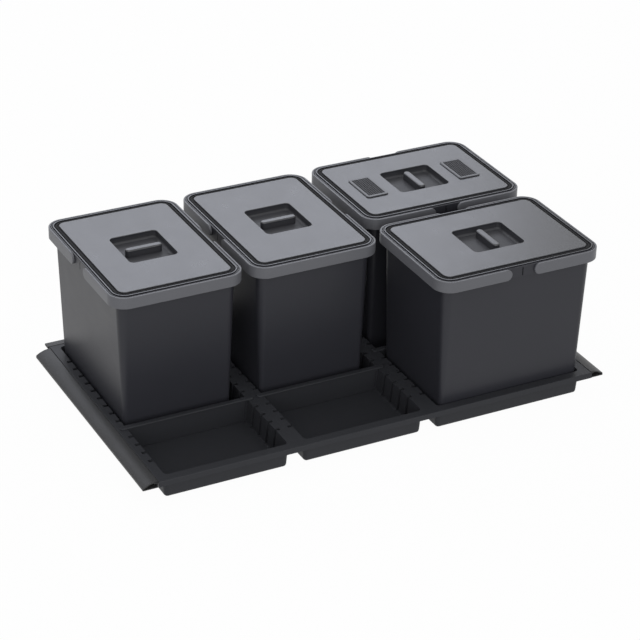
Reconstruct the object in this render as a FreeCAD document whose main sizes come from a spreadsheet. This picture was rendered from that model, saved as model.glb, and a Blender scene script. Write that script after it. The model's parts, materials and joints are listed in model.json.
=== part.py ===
import FreeCAD, Part
import math
import os

import Sketcher

# A drawer insert with four lidded waste bins.
#
# Frame: millimetres, +X to the right, +Y to the back, +Z up. The origin is the middle of the
# tray's footprint on the surface that the tray stands on.
#
# A dark base tray has three wells side by side. Two narrow wells each hold one bin with its long
# side front to back and, behind a divider, a shallow compartment in front. The wide well holds two
# bins with their long side across, with a divider between them. Each bin is a tapered bucket with
# a hollow turned-down rim, a lid with a seal ring, and two U-shaped handles folded round the rim.

Vector = FreeCAD.Vector
doc = FreeCAD.newDocument("WasteBinInsert")

# ---------------------------------------------------------------------------------------------
# Sizes
# ---------------------------------------------------------------------------------------------

DRIVING = (
    # buckets
    ("rim_width", 215.0, "short side over the bucket's rim"),
    ("rim_length", 288.0, "long side over the bucket's rim"),
    ("rim_corner", 25.0, "outer corner radius of the rim"),
    ("rim_wall", 2.4, "thickness of the rim's upright wall"),
    ("rim_depth", 18.3, "height of the rim's upright wall"),
    ("rim_overhang", 8.2, "how far the rim stands out from the bucket's side"),
    ("shelf_drop", 3.5, "rim's top edge down to the shelf that carries the lid"),
    ("shelf_wall", 2.2, "thickness of that shelf"),
    ("bucket_tall", 266.6, "foot to the rim's top edge"),
    ("bucket_draft", 1.9, "lean of the bucket's sides, degrees"),
    ("bucket_wall", 2.2, "thickness of the bucket's sides"),
    ("bucket_floor", 2.6, "thickness of the bucket's floor"),
    ("foot_corner", 6.0, "corner radius of the bucket's sides at the foot; it grows with the lean"),
    ("foot_round", 5.0, "rounding where the sides meet the floor"),
    ("foot_recess", 1.2, "how far the floor's middle is raised off its foot ring"),
    ("foot_ring", 14.0, "width of that foot ring"),
    ("split_wide", 1.8, "width of the slit in the middle of each long side of the rim"),
    ("split_tall", 14.0, "height of that slit"),
    ("split_above", 1.5, "how far that slit reaches above the shelf"),
    ("rim_round", 0.8, "rounding of the rim's top edge"),
    # lids
    ("lid_play", 1.0, "gap between the lid's bead and the rim, all round"),
    ("lid_seat", 0.3, "gap between the lid and the shelf that it rests on"),
    ("lid_proud", 2.0, "how far the lid's panel stands above the rim"),
    ("bead_wide", 1.7, "width of the lid's outer bead"),
    ("bead_drop", 0.5, "how far the bead lies below the panel"),
    ("groove_wide", 8.0, "width of the seal groove between bead and panel"),
    ("groove_deep", 3.2, "depth of the seal groove below the panel"),
    ("lid_skin", 2.2, "thickness of the lid's panel"),
    ("lid_side", 1.8, "thickness of the wall between panel and groove"),
    ("panel_round", 1.0, "rounding of the panel's edge"),
    ("grip_long", 92.0, "finger recess along the bin's long side"),
    ("grip_short", 81.0, "finger recess along the bin's short side"),
    ("grip_corner", 8.0, "corner radius of the recess"),
    ("grip_deep", 12.5, "depth of the recess"),
    ("grip_round", 4.0, "rounding of the recess floor"),
    ("grip_bar_long", 62.0, "length of the grip bar"),
    ("grip_bar_wide", 12.0, "width of the grip bar"),
    ("grip_bar_round", 2.6, "rounding of the grip bar's top"),
    # lid seals
    ("seal_play", 0.3, "gap between the seal and each wall of its groove"),
    ("seal_seat", 0.1, "gap between the seal and the floor of its groove"),
    ("seal_base", 1.0, "thickness of the seal's flat base"),
    ("seal_rib_wide", 2.4, "width of the seal's middle rib"),
    ("seal_rib_tall", 1.9, "height of that rib above the groove's floor"),
    # handles
    ("strap_gap", 0.6, "gap between handle and rim"),
    ("strap_wall", 3.2, "thickness of the handle's strap"),
    ("strap_tall", 19.0, "height of the handle's strap"),
    ("strap_raise", 0.2, "how far the strap stands above the rim"),
    ("strap_round", 0.8, "rounding of the strap's outer edges"),
    ("pivot_from_middle", 30.3, "pivot pin to the middle of the long side"),
    ("pin_radius", 3.0, "radius of the pivot pin"),
    ("pin_play", 0.1, "radial running gap of the pivot pin"),
    ("pin_reach", 1.2, "how far the pin shows inside the rim"),
    # tray
    ("narrow_well_less", 7.5, "how much narrower a narrow well is than its bin's rim"),
    ("wide_well_less", 21.5, "how much narrower the wide well is than its bins' rims are long"),
    ("well_depth_less", 25.2, "how much shorter the wells are than the wide well's bins with their gap"),
    ("rib_wide", 28.75, "ledge between two wells, tooth to tooth"),
    ("side_ledge", 15.4, "ledge between the outer wells and the side trims"),
    ("front_ledge", 15.8, "ledge in front of the wells"),
    ("rear_ledge", 8.2, "ledge behind the wells, up to the rear trim"),
    ("deck_thick", 2.2, "thickness of the ledge and of the front lip"),
    ("ledge_tall", 42.0, "ledge above the surface that the tray stands on"),
    ("tray_wall", 2.5, "thickness of the tray's walls"),
    ("well_lean", 3.2, "how far each wall of a well leans in from ledge to bottom"),
    ("well_corner", 6.5, "corner radius of the wells at the ledge"),
    ("well_round", 3.0, "rounding between a well's walls and floor"),
    ("lip_drop", 8.8, "height of the front lip"),
    ("lip_lean", 0.8, "how far the lip leans forward"),
    ("lip_round", 1.2, "rounding between ledge and lip"),
    ("groove_pitch", 25.6, "spacing of the divider grooves"),
    ("groove_slot", 6.4, "width of a divider groove"),
    ("groove_reach", 7.5, "depth of a divider groove into the ledge"),
    ("groove_first", 45.2, "first groove behind the front edge of the wells"),
    # trims and the tongues of the ledge that carry them
    ("tongue_drop", 1.6, "top of the tongue below the ledge"),
    ("tongue_thick", 1.2, "thickness of the tongue"),
    ("tongue_reach", 5.0, "how far the tongue reaches into its trim"),
    ("tongue_root", 3.0, "how far the tongue runs in under the ledge"),
    ("trim_joint", 0.25, "gap between the ledge's edge and a trim"),
    ("trim_play", 0.2, "gap above and below the tongue in its slot"),
    ("joint_bevel", 0.8, "bevel on both sides of that joint"),
    ("side_trim_out", 25.0, "how far each side trim reaches out from the ledge's edge"),
    ("side_trim_wall", 1.6, "wall of a side trim's hollow profile"),
    ("side_trim_edge", 8.0, "outer end of a side trim's crowned top, below the ledge"),
    ("side_trim_lip", 4.3, "height of its upright outer face"),
    ("crown_out", 13.9, "where the top's two directions meet, out from the ledge's edge"),
    ("crown_drop", 0.55, "that meeting line below the ledge"),
    ("crown_round", 42.0, "radius of the crowned top"),
    ("side_trim_front", 5.0, "front end of the side trims behind the ledge's front edge"),
    ("side_trim_rear", 5.0, "their rear end in front of the ledge's rear edge"),
    ("rear_trim_out", 15.4, "how far the rear trim reaches back from the ledge's edge"),
    ("rear_trim_fall", 0.8, "how far its top falls to the back"),
    ("rear_trim_tall", 4.6, "height of the rear trim"),
    ("rear_trim_wall", 1.1, "wall of the rear trim's hollow profile"),
    ("rear_trim_over", 1.5, "how far the rear trim reaches past the ledge's ends"),
    # dividers
    ("divider_thick", 2.6, "thickness of a divider's plate"),
    ("divider_end_lap", 3.0, "how far its thicker ends reach in from the teeth"),
    ("divider_play", 0.6, "gap between a divider's ends and its grooves"),
    ("divider_foot", 0.4, "gap between a divider and the floor of its well"),
    ("rail_wide", 9.4, "width of a divider's top rail"),
    ("rail_thick", 2.6, "thickness of that rail"),
    ("rail_lap", 3.8, "how far the rail rests on the ledge beyond each groove"),
    ("rail_seat", 0.2, "gap between the rail and the ledge"),
    ("rail_round", 1.1, "rounding of the rail's top edges"),
    ("rail_room", 2.0, "least gap between a divider's rail and the side of a bin"),
    # places of the bins
    ("bin_seat", 0.3, "gap between a bin and the floor of its well"),
    ("narrow_bin_aside", 8.0, "bins of the narrow wells stand left of the wells' middle"),
    ("narrow_bin_over", 8.2, "how far their rims reach past the rear edge of the wells"),
    ("wide_bin_gap", 25.6, "gap between the rims of the two bins in the wide well"),
    ("wide_bin_aside", 1.6, "bins of the wide well stand right of the well's middle"),
    # vent covers and filters of one lid
    ("vent_offset", 88.0, "vent to the middle of the lid"),
    ("vent_long", 73.0, "vent cover, front to back"),
    ("vent_wide", 40.0, "vent cover, left to right"),
    ("vent_corner", 5.0, "corner radius of a vent cover"),
    ("vent_rise", 2.0, "height of a vent cover above the panel"),
    ("vent_seat", 0.2, "gap between a vent cover and the lid's panel"),
    ("vent_bevel", 1.0, "bevel of a vent cover's top edge"),
    ("vent_skin", 1.2, "thickness of the mesh"),
    ("plug_drop", 3.0, "how far the cover's collar reaches into the filter cage"),
    ("vent_lip", 4.4, "border of the cover round its mesh"),
    ("mesh_pitch", 3.9, "spacing of the mesh holes"),
    ("mesh_hole", 2.6, "side of a mesh hole"),
    ("cage_wall", 1.6, "wall of the filter cage below the lid"),
    ("cage_play", 0.5, "gap between filter and cage"),
    ("cage_lip", 3.0, "rim that carries the filter at the cage's bottom"),
    ("cage_lip_thick", 1.2, "thickness of that rim"),
    ("cage_corner", 3.0, "corner radius inside the cage"),
    ("cage_room", 1.0, "gap between the mesh's outline and the cage's walls"),
    ("filter_seat", 0.3, "gap above and below a filter"),
    ("filter_thick", 9.0, "thickness of a filter cartridge"),
)

DERIVED = (
    # the bucket's outlines, from the rim inwards
    ("rim_in_width", "=rim_width - 2 * rim_wall"),
    ("rim_in_length", "=rim_length - 2 * rim_wall"),
    ("rim_in_corner", "=rim_corner - rim_wall"),
    ("mouth_width", "=rim_width - 2 * rim_overhang"),
    ("mouth_length", "=rim_length - 2 * rim_overhang"),
    ("side_tall", "=bucket_tall - shelf_drop"),
    ("side_lean", "=side_tall * tan(bucket_draft)"),
    ("foot_width", "=mouth_width - 2 * side_lean"),
    ("foot_length", "=mouth_length - 2 * side_lean"),
    ("mouth_corner", "=foot_corner + side_lean"),
    ("floor_lean", "=bucket_floor * tan(bucket_draft)"),
    ("cavity_width", "=foot_width - 2 * bucket_wall + 2 * floor_lean"),
    ("cavity_length", "=foot_length - 2 * bucket_wall + 2 * floor_lean"),
    ("cavity_corner", "=foot_corner - bucket_wall + floor_lean"),
    ("mouth_in_width", "=mouth_width - 2 * bucket_wall"),
    ("mouth_in_length", "=mouth_length - 2 * bucket_wall"),
    ("mouth_in_corner", "=mouth_corner - bucket_wall"),
    ("recess_width", "=foot_width - 2 * foot_ring"),
    ("recess_length", "=foot_length - 2 * foot_ring"),
    # the lid's outlines
    ("bead_width", "=rim_in_width - 2 * lid_play"),
    ("bead_length", "=rim_in_length - 2 * lid_play"),
    ("bead_corner", "=rim_in_corner - lid_play"),
    ("groove_width", "=bead_width - 2 * bead_wide"),
    ("groove_length", "=bead_length - 2 * bead_wide"),
    ("groove_corner", "=bead_corner - bead_wide"),
    ("panel_width", "=groove_width - 2 * groove_wide"),
    ("panel_length", "=groove_length - 2 * groove_wide"),
    ("panel_corner", "=groove_corner - groove_wide"),
    ("hollow_width", "=panel_width - 2 * lid_side"),
    ("hollow_length", "=panel_length - 2 * lid_side"),
    ("hollow_corner", "=panel_corner - lid_side"),
    ("lid_top", "=bucket_tall + lid_proud"),
    ("lid_bottom", "=bucket_tall - shelf_drop + lid_seat"),
    ("bead_top", "=lid_top - bead_drop"),
    ("groove_floor", "=lid_top - groove_deep"),
    ("grip_floor", "=lid_top - grip_deep"),
    ("grip_box_long", "=grip_long + 2 * lid_side"),
    ("grip_box_short", "=grip_short + 2 * lid_side"),
    ("grip_box_corner", "=grip_corner + lid_side"),
    # the seal's outlines
    ("seal_out_width", "=groove_width - 2 * seal_play"),
    ("seal_out_length", "=groove_length - 2 * seal_play"),
    ("seal_out_corner", "=groove_corner - seal_play"),
    ("seal_in_width", "=panel_width + 2 * seal_play"),
    ("seal_in_length", "=panel_length + 2 * seal_play"),
    ("seal_in_corner", "=panel_corner + seal_play"),
    ("seal_rib_inset", "=(groove_wide - seal_rib_wide) / 2"),
    ("seal_rib_out_width", "=groove_width - 2 * seal_rib_inset"),
    ("seal_rib_out_length", "=groove_length - 2 * seal_rib_inset"),
    ("seal_rib_out_corner", "=groove_corner - seal_rib_inset"),
    ("seal_rib_in_width", "=panel_width + 2 * seal_rib_inset"),
    ("seal_rib_in_length", "=panel_length + 2 * seal_rib_inset"),
    ("seal_rib_in_corner", "=panel_corner + seal_rib_inset"),
    # the handle
    ("strap_in_width", "=rim_width + 2 * strap_gap"),
    ("strap_in_length", "=rim_length + 2 * strap_gap"),
    ("strap_in_corner", "=rim_corner + strap_gap"),
    ("strap_out_width", "=strap_in_width + 2 * strap_wall"),
    ("strap_out_length", "=strap_in_length + 2 * strap_wall"),
    ("strap_out_corner", "=strap_in_corner + strap_wall"),
    ("strap_top", "=bucket_tall + strap_raise"),
    ("pivot_tall", "=strap_top - strap_tall / 2"),
    ("pin_length", "=strap_gap + rim_wall + pin_reach"),
    ("pin_hole_radius", "=pin_radius + pin_play"),
    # the wells, from the bins that they hold
    ("narrow_well", "=rim_width - narrow_well_less"),
    ("wide_well", "=rim_length - wide_well_less"),
    ("wide_bin_apart", "=rim_width + wide_bin_gap"),
    ("well_depth_y", "=rim_width + wide_bin_apart - well_depth_less"),
    ("narrow_bin_back", "=well_depth_y / 2 + narrow_bin_over - rim_length / 2"),
    # the tray, left to right and front to back
    ("wells_across", "=2 * narrow_well + wide_well + 2 * rib_wide"),
    ("fold_across", "=wells_across + 2 * side_ledge"),
    ("tray_deep", "=lip_lean + front_ledge + well_depth_y + rear_ledge + rear_trim_out"),
    ("well_front", "=lip_lean + front_ledge - tray_deep / 2"),
    ("well_middle_y", "=well_front + well_depth_y / 2"),
    ("well_rear", "=well_front + well_depth_y"),
    ("deck_front", "=well_front - front_ledge"),
    ("deck_rear", "=well_rear + rear_ledge"),
    ("left_well_x", "=narrow_well / 2 - wells_across / 2"),
    ("middle_well_x", "=left_well_x + narrow_well + rib_wide"),
    ("right_well_x", "=wells_across / 2 - wide_well / 2"),
    ("groove_count", "=floor((well_depth_y - 2 * groove_first) / groove_pitch + 1.5)"),
    # the groove that each divider stands in: the nearest one in front of a narrow well's bin, and
    # the nearest one behind the wide well's front bin
    ("lean_at_rail", "=(ledge_tall + rail_seat + rail_thick) * tan(bucket_draft)"),
    ("narrow_bin_front", "=well_depth_y / 2 + narrow_bin_back - foot_length / 2 - lean_at_rail"),
    ("wide_bin_rear", "=well_depth_y / 2 - wide_bin_apart / 2 + foot_width / 2 + lean_at_rail"),
    ("rail_reach", "=rail_wide / 2 + rail_room"),
    ("narrow_groove", "=floor((narrow_bin_front - rail_reach - groove_first) / groove_pitch)"),
    ("wide_groove", "=ceil((wide_bin_rear + rail_reach - groove_first) / groove_pitch)"),
    # the slot in a trim, outwards from the ledge's edge and down from the ledge
    ("slot_end", "=tongue_reach + trim_joint"),
    ("slot_top", "=tongue_drop - trim_play"),
    ("slot_bottom", "=tongue_drop + tongue_thick + trim_play"),
    ("side_trim_low", "=side_trim_edge + side_trim_lip"),
    # where the bins stand
    ("bin_foot", "=tray_wall + bin_seat"),
    # vents
    ("mesh_long", "=vent_long - 2 * vent_lip"),
    ("mesh_wide", "=vent_wide - 2 * vent_lip"),
    ("mesh_rows", "=floor((mesh_long + mesh_pitch - mesh_hole) / mesh_pitch)"),
    ("mesh_columns", "=floor((mesh_wide + mesh_pitch - mesh_hole) / mesh_pitch)"),
    ("cage_in_long", "=mesh_long + 2 * cage_room"),
    ("cage_in_wide", "=mesh_wide + 2 * cage_room"),
    ("cage_out_long", "=cage_in_long + 2 * cage_wall"),
    ("cage_out_wide", "=cage_in_wide + 2 * cage_wall"),
    ("cage_open_long", "=cage_in_long - 2 * cage_lip"),
    ("cage_open_wide", "=cage_in_wide - 2 * cage_lip"),
    ("cage_floor", "=lid_top - plug_drop - filter_thick - 2 * filter_seat"),
    ("cage_bottom", "=cage_floor - cage_lip_thick"),
    ("filter_long", "=cage_in_long - 2 * cage_play"),
    ("filter_wide", "=cage_in_wide - 2 * cage_play"),
)

sheet = doc.addObject("Spreadsheet::Sheet", "Sizes")


def fill_sheet():
    """One row for each size: its meaning, its value and the word that names it."""
    row = 1
    for alias, value, meaning in DRIVING:
        sheet.set("A%d" % row, meaning)
        sheet.set("B%d" % row, str(value))
        sheet.setAlias("B%d" % row, alias)
        row += 1
    doc.recompute()
    for alias, formula in DERIVED:
        sheet.set("A%d" % row, "worked out")
        sheet.set("B%d" % row, formula)
        sheet.setAlias("B%d" % row, alias)
        row += 1
    doc.recompute()


fill_sheet()


class Size:
    """A length together with the sheet formula that it comes from."""

    def __init__(self, value, formula):
        self.value = value
        self.formula = formula

    def mixed(self, other, sign, result):
        formula = other.formula if isinstance(other, Size) else repr(other)
        return Size(result, "(%s %s %s)" % (self.formula, sign, formula))

    def __add__(self, other):
        return self.mixed(other, "+", self.value + amount(other))

    def __sub__(self, other):
        return self.mixed(other, "-", self.value - amount(other))

    def __mul__(self, other):
        return self.mixed(other, "*", self.value * amount(other))

    def __truediv__(self, other):
        return self.mixed(other, "/", self.value / amount(other))

    def __neg__(self):
        return Size(-self.value, "(-1 * %s)" % self.formula)


def amount(thing):
    """The plain number of a Size or of a number."""
    return thing.value if isinstance(thing, Size) else float(thing)


def size(alias):
    """The size of that name in the sheet."""
    return Size(float(sheet.get(alias)), "Sizes." + alias)


# ---------------------------------------------------------------------------------------------
# Sketches
# ---------------------------------------------------------------------------------------------

ORIGIN = -1
ACROSS_AXIS = -1
UP_AXIS = -2


def base_element(body, role):
    """A plane or an axis of the body's own origin."""
    for element in body.Origin.OriginFeatures:
        if element.Role == role:
            return element
    raise ValueError(role)


def new_sketch(body, name, role, away=None):
    """A sketch on one of the body's base planes, moved along the plane's normal."""
    sketch = body.newObject("Sketcher::SketchObject", name)
    sketch.AttachmentSupport = [(base_element(body, role), "")]
    sketch.MapMode = "FlatFace"
    if away is not None:
        sketch.setExpression("AttachmentOffset.Base.z", away.formula)
    return sketch


def level_sketch(body, name, height=None):
    return new_sketch(body, name, "XY_Plane", height)


def bind(sketch, constraint, length):
    """Adds a constraint with a size and ties it to the sheet."""
    index = sketch.addConstraint(constraint)
    if isinstance(length, Size):
        name = "tied_%d" % index
        sketch.renameConstraint(index, name)
        sketch.setExpression("Constraints." + name, length.formula)


def place_point(sketch, piece, end, x, y):
    """Ties one point to the sketch's origin; None leaves that direction free, 0 puts it on the axis."""
    for kind, length, axis in (("DistanceX", x, UP_AXIS), ("DistanceY", y, ACROSS_AXIS)):
        if length is None:
            continue
        if isinstance(length, Size):
            constraint = Sketcher.Constraint(kind, ORIGIN, 1, piece, end, length.value)
            bind(sketch, constraint, length)
        else:
            sketch.addConstraint(Sketcher.Constraint("PointOnObject", piece, end, axis))


def add_polygon(sketch, corners):
    """A closed outline of straight lines."""
    first = len(sketch.Geometry)
    count = len(corners)
    points = [Vector(amount(x), amount(y), 0) for x, y in corners]
    for step in range(count):
        sketch.addGeometry(Part.LineSegment(points[step], points[(step + 1) % count]))
    for step in range(count):
        following = first + (step + 1) % count
        sketch.addConstraint(Sketcher.Constraint("Coincident", first + step, 2, following, 1))
    for step, (x, y) in enumerate(corners):
        place_point(sketch, first + step, 1, x, y)


def add_outline(sketch, width, length, corner, x=0, y=0):
    """A rectangle with round corners round the point x, y."""
    half_x = width / 2
    half_y = length / 2
    right = half_x + x
    left = -half_x + x
    back = half_y + y
    front = -half_y + y
    radius = corner.value
    xs = (left.value, left.value + radius, right.value - radius, right.value)
    ys = (front.value, front.value + radius, back.value - radius, back.value)
    first = len(sketch.Geometry)
    quarter = math.pi / 2
    straights = (
        (Vector(xs[1], ys[0], 0), Vector(xs[2], ys[0], 0)),
        (Vector(xs[3], ys[1], 0), Vector(xs[3], ys[2], 0)),
        (Vector(xs[2], ys[3], 0), Vector(xs[1], ys[3], 0)),
        (Vector(xs[0], ys[2], 0), Vector(xs[0], ys[1], 0)),
    )
    centres = (
        Vector(xs[2], ys[1], 0),
        Vector(xs[2], ys[2], 0),
        Vector(xs[1], ys[2], 0),
        Vector(xs[1], ys[1], 0),
    )
    up = Vector(0, 0, 1)
    for step in range(4):
        sketch.addGeometry(Part.LineSegment(*straights[step]))
        circle = Part.Circle(centres[step], up, radius)
        sketch.addGeometry(Part.ArcOfCircle(circle, (step - 1) * quarter, step * quarter))
    constraints = []
    for step in range(4):
        line = first + 2 * step
        arc = line + 1
        following = first + (2 * step + 2) % 8
        constraints.append(Sketcher.Constraint("Tangent", line, 2, arc, 1))
        constraints.append(Sketcher.Constraint("Tangent", arc, 2, following, 1))
        constraints.append(Sketcher.Constraint("Vertical" if step % 2 else "Horizontal", line))
        if step:
            constraints.append(Sketcher.Constraint("Equal", first + 1, arc))
    sketch.addConstraint(constraints)
    place_point(sketch, first, 1, None, front)
    place_point(sketch, first + 2, 1, right, None)
    place_point(sketch, first + 4, 1, None, back)
    place_point(sketch, first + 6, 1, left, None)
    bind(sketch, Sketcher.Constraint("Radius", first + 1, radius), corner)


def add_stadium(sketch, length, width, x=0, y=0):
    """A bar with full-round ends, lying left to right, round the point x, y."""
    half_wide = width / 2
    reach = length / 2 - half_wide
    right = reach + x
    left = -reach + x
    back = half_wide + y
    front = -half_wide + y
    first = len(sketch.Geometry)
    up = Vector(0, 0, 1)
    middle = amount(y)
    quarter = math.pi / 2
    sketch.addGeometry(Part.LineSegment(Vector(left.value, front.value, 0), Vector(right.value, front.value, 0)))
    end = Part.Circle(Vector(right.value, middle, 0), up, half_wide.value)
    sketch.addGeometry(Part.ArcOfCircle(end, -quarter, quarter))
    sketch.addGeometry(Part.LineSegment(Vector(right.value, back.value, 0), Vector(left.value, back.value, 0)))
    end = Part.Circle(Vector(left.value, middle, 0), up, half_wide.value)
    sketch.addGeometry(Part.ArcOfCircle(end, quarter, 3 * quarter))
    sketch.addConstraint([
        Sketcher.Constraint("Tangent", first, 2, first + 1, 1),
        Sketcher.Constraint("Tangent", first + 1, 2, first + 2, 1),
        Sketcher.Constraint("Tangent", first + 2, 2, first + 3, 1),
        Sketcher.Constraint("Tangent", first + 3, 2, first, 1),
        Sketcher.Constraint("Horizontal", first),
        Sketcher.Constraint("Horizontal", first + 2),
    ])
    place_point(sketch, first, 1, None, front)
    place_point(sketch, first + 2, 1, None, back)
    place_point(sketch, first + 1, 3, right, None)
    place_point(sketch, first + 3, 3, left, None)


def add_circle(sketch, radius, x, y):
    first = len(sketch.Geometry)
    sketch.addGeometry(Part.Circle(Vector(amount(x), amount(y), 0), Vector(0, 0, 1), radius.value))
    place_point(sketch, first, 3, x, y)
    bind(sketch, Sketcher.Constraint("Radius", first, radius.value), radius)


# ---------------------------------------------------------------------------------------------
# Features
# ---------------------------------------------------------------------------------------------


def new_body(name):
    body = doc.addObject("PartDesign::Body", name)
    body.Label = name
    return body


def extrude(body, kind, name, sketch, length, reverse=False, both_ways=False):
    feature = body.newObject("PartDesign::" + kind, name)
    feature.Profile = sketch
    feature.setExpression("Length", length.formula)
    if both_ways:
        feature.SideType = "Symmetric"
    feature.Reversed = reverse
    return feature


def add_slab(body, name, outlines, bottom, top):
    """Adds material between two levels inside the given outlines; a second outline is a hole."""
    sketch = level_sketch(body, name + "Outline", bottom)
    for outline in outlines:
        add_outline(sketch, *outline)
    return extrude(body, "Pad", name, sketch, top - bottom)


def cut_slab(body, name, outlines, bottom, top):
    """Takes material away between two levels inside the given outlines."""
    sketch = level_sketch(body, name + "Outline", top)
    for outline in outlines:
        add_outline(sketch, *outline)
    return extrude(body, "Pocket", name, sketch, top - bottom)


def add_loft(body, kind, name, lower, bottom, upper, top):
    """A straight-sided taper between two outlines at two levels."""
    first = level_sketch(body, name + "Lower", bottom)
    add_outline(first, *lower)
    second = level_sketch(body, name + "Upper", top)
    add_outline(second, *upper)
    loft = body.newObject("PartDesign::" + kind, name)
    loft.Profile = first
    loft.Sections = [second]
    loft.Ruled = True
    return loft


def mirror(body, name, features):
    """The same features again on the other side of the plane between left and right."""
    copy = body.newObject("PartDesign::Mirrored", name)
    copy.Originals = features
    copy.MirrorPlane = (base_element(body, "YZ_Plane"), [""])
    body.Tip = copy
    return copy


def repeat(body, name, feature, axis, pitch, count):
    """The same feature again and again along an axis."""
    row = body.newObject("PartDesign::LinearPattern", name)
    row.Originals = [feature]
    row.Direction = (base_element(body, axis), [""])
    row.Mode = "Spacing"
    row.setExpression("Offset", pitch.formula)
    row.setExpression("Occurrences", count.formula)
    body.Tip = row
    return row


def edges_where(feature, test):
    """Names of the edges that pass the test over their whole length."""
    names = []
    for number, edge in enumerate(feature.Shape.Edges, 1):
        start = edge.FirstParameter
        reach = edge.LastParameter - start
        if all(test(edge.valueAt(start + reach * step / 4)) for step in range(5)):
            names.append("Edge%d" % number)
    return names


def round_edges(body, name, feature, radius, test, kind="Fillet"):
    """Rounds or bevels the edges that pass the test."""
    doc.recompute()
    rounding = body.newObject("PartDesign::" + kind, name)
    rounding.Base = (feature, edges_where(feature, test))
    rounding.setExpression("Radius" if kind == "Fillet" else "Size", radius.formula)
    return rounding


def near(first, second):
    return abs(first - amount(second)) < 0.02


def on_outline(point, outline):
    """Whether a point lies on a rounded outline, seen from above."""
    width, length, corner = (amount(part) for part in outline[:3])
    x, y = (amount(part) for part in outline[3:]) if len(outline) > 3 else (0, 0)
    across = abs(point.x - x) - width / 2 + corner
    along = abs(point.y - y) - length / 2 + corner
    outside = math.hypot(max(across, 0), max(along, 0))
    return abs(outside + min(max(across, along), 0) - corner) < 0.02


def outline_of(word):
    """Width, length and corner radius of an outline that the sheet names by one word."""
    return (size(word + "_width"), size(word + "_length"), size(word + "_corner"))


# ---------------------------------------------------------------------------------------------
# Buckets
# ---------------------------------------------------------------------------------------------

FOOT = outline_of("foot")
MOUTH = outline_of("mouth")
RIM = outline_of("rim")
RIM_IN = outline_of("rim_in")
CAVITY = outline_of("cavity")
MOUTH_IN = outline_of("mouth_in")
SLIGHT = Size(1.0, "1")


def build_bucket(name):
    """A tapered bucket with its hollow turned-down rim; long side along Y, foot at zero."""
    body = new_body(name)
    shelf = size("side_tall")
    rim_bottom = size("bucket_tall") - size("rim_depth")
    add_loft(body, "AdditiveLoft", "Sides", FOOT, None, MOUTH, shelf)
    add_slab(body, "Shelf", [RIM], shelf - size("shelf_wall"), shelf)
    rim = add_slab(body, "RimWall", [RIM, RIM_IN], rim_bottom, size("bucket_tall"))
    round_edges(body, "FootRound", rim, size("foot_round"), lambda p: near(p.z, 0))
    add_loft(body, "SubtractiveLoft", "Cavity", CAVITY, size("bucket_floor"), MOUTH_IN, shelf)
    round_edges(body, "CavityRound", body.Tip, size("foot_round") - size("bucket_wall"),
                lambda p: near(p.z, size("bucket_floor")))

    # a shallow recess below leaves a ring to stand on
    recess = (size("recess_width"), size("recess_length"), size("foot_corner"))
    sketch = level_sketch(body, "FootRecessOutline")
    add_outline(sketch, *recess)
    extrude(body, "Pocket", "FootRecess", sketch, size("foot_recess"), reverse=True)

    # a slit in the middle of each long side, and two holes for the handles' pins
    sketch = new_sketch(body, "SlitOutline", "YZ_Plane", size("rim_width") / 2)
    half = size("split_wide") / 2
    top = size("bucket_tall") - size("shelf_drop") + size("split_above")
    bottom = top - size("split_tall")
    add_polygon(sketch, [(-half, bottom), (half, bottom), (half, top), (-half, top)])
    slit = extrude(body, "Pocket", "Slit", sketch, size("rim_wall"))
    sketch = new_sketch(body, "PinHoleOutline", "YZ_Plane", size("rim_width") / 2)
    add_circle(sketch, size("pin_hole_radius"), size("pivot_from_middle"), size("pivot_tall"))
    add_circle(sketch, size("pin_hole_radius"), -size("pivot_from_middle"), size("pivot_tall"))
    holes = extrude(body, "Pocket", "PinHoles", sketch, size("rim_wall"))
    both = mirror(body, "OtherLongSide", [slit, holes])
    round_edges(body, "RimRound", both, size("rim_round"),
                lambda p: near(p.z, size("bucket_tall")) and on_outline(p, RIM))
    return body


# ---------------------------------------------------------------------------------------------
# Lids and their seals
# ---------------------------------------------------------------------------------------------

BEAD = outline_of("bead")
GROOVE = outline_of("groove")
PANEL = outline_of("panel")
HOLLOW = outline_of("hollow")
GRIP = (size("grip_short"), size("grip_long"), size("grip_corner"))
GRIP_BOX = (size("grip_box_short"), size("grip_box_long"), size("grip_box_corner"))


def build_lid(name, vented):
    """A lid with panel, seal groove, bead and finger recess; long side along Y, the foot of its
    bucket at zero. A vented lid has two filter cages as well."""
    body = new_body(name)
    top = size("lid_top")
    bottom = size("lid_bottom")
    add_slab(body, "Bead", [BEAD], bottom, size("bead_top"))
    add_slab(body, "Panel", [PANEL], bottom, top)
    cut_slab(body, "SealGroove", [GROOVE, PANEL], size("groove_floor"), top)
    sketch = level_sketch(body, "HollowOutline", bottom)
    add_outline(sketch, *HOLLOW)
    extrude(body, "Pocket", "Hollow", sketch, top - size("lid_skin") - bottom, reverse=True)
    add_slab(body, "GripBox", [GRIP_BOX], size("grip_floor") - size("lid_side"), top - size("lid_skin") / 2)
    if vented:
        for word, side in (("Left", 1), ("Right", -1)):
            build_cage(body, word, size("vent_offset") * side)

    # the recess leaves the grip bar standing in its middle
    sketch = level_sketch(body, "GripOutline", top)
    add_outline(sketch, *GRIP)
    add_stadium(sketch, size("grip_bar_long"), size("grip_bar_wide"))
    grip = extrude(body, "Pocket", "Grip", sketch, size("grip_deep"))
    floor = round_edges(body, "GripFloorRound", grip, size("grip_round"),
                        lambda p: near(p.z, size("grip_floor")) and on_outline(p, GRIP))
    half_wide = size("grip_bar_wide").value / 2 + 0.02
    half_long = size("grip_bar_long").value / 2 + 0.02
    bar = round_edges(body, "GripBarRound", floor, size("grip_bar_round"),
                      lambda p: near(p.z, top) and abs(p.y) < half_wide and abs(p.x) < half_long)
    round_edges(body, "PanelRound", bar, size("panel_round"),
                lambda p: near(p.z, top) and (on_outline(p, PANEL) or on_outline(p, GRIP)))
    return body


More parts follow.
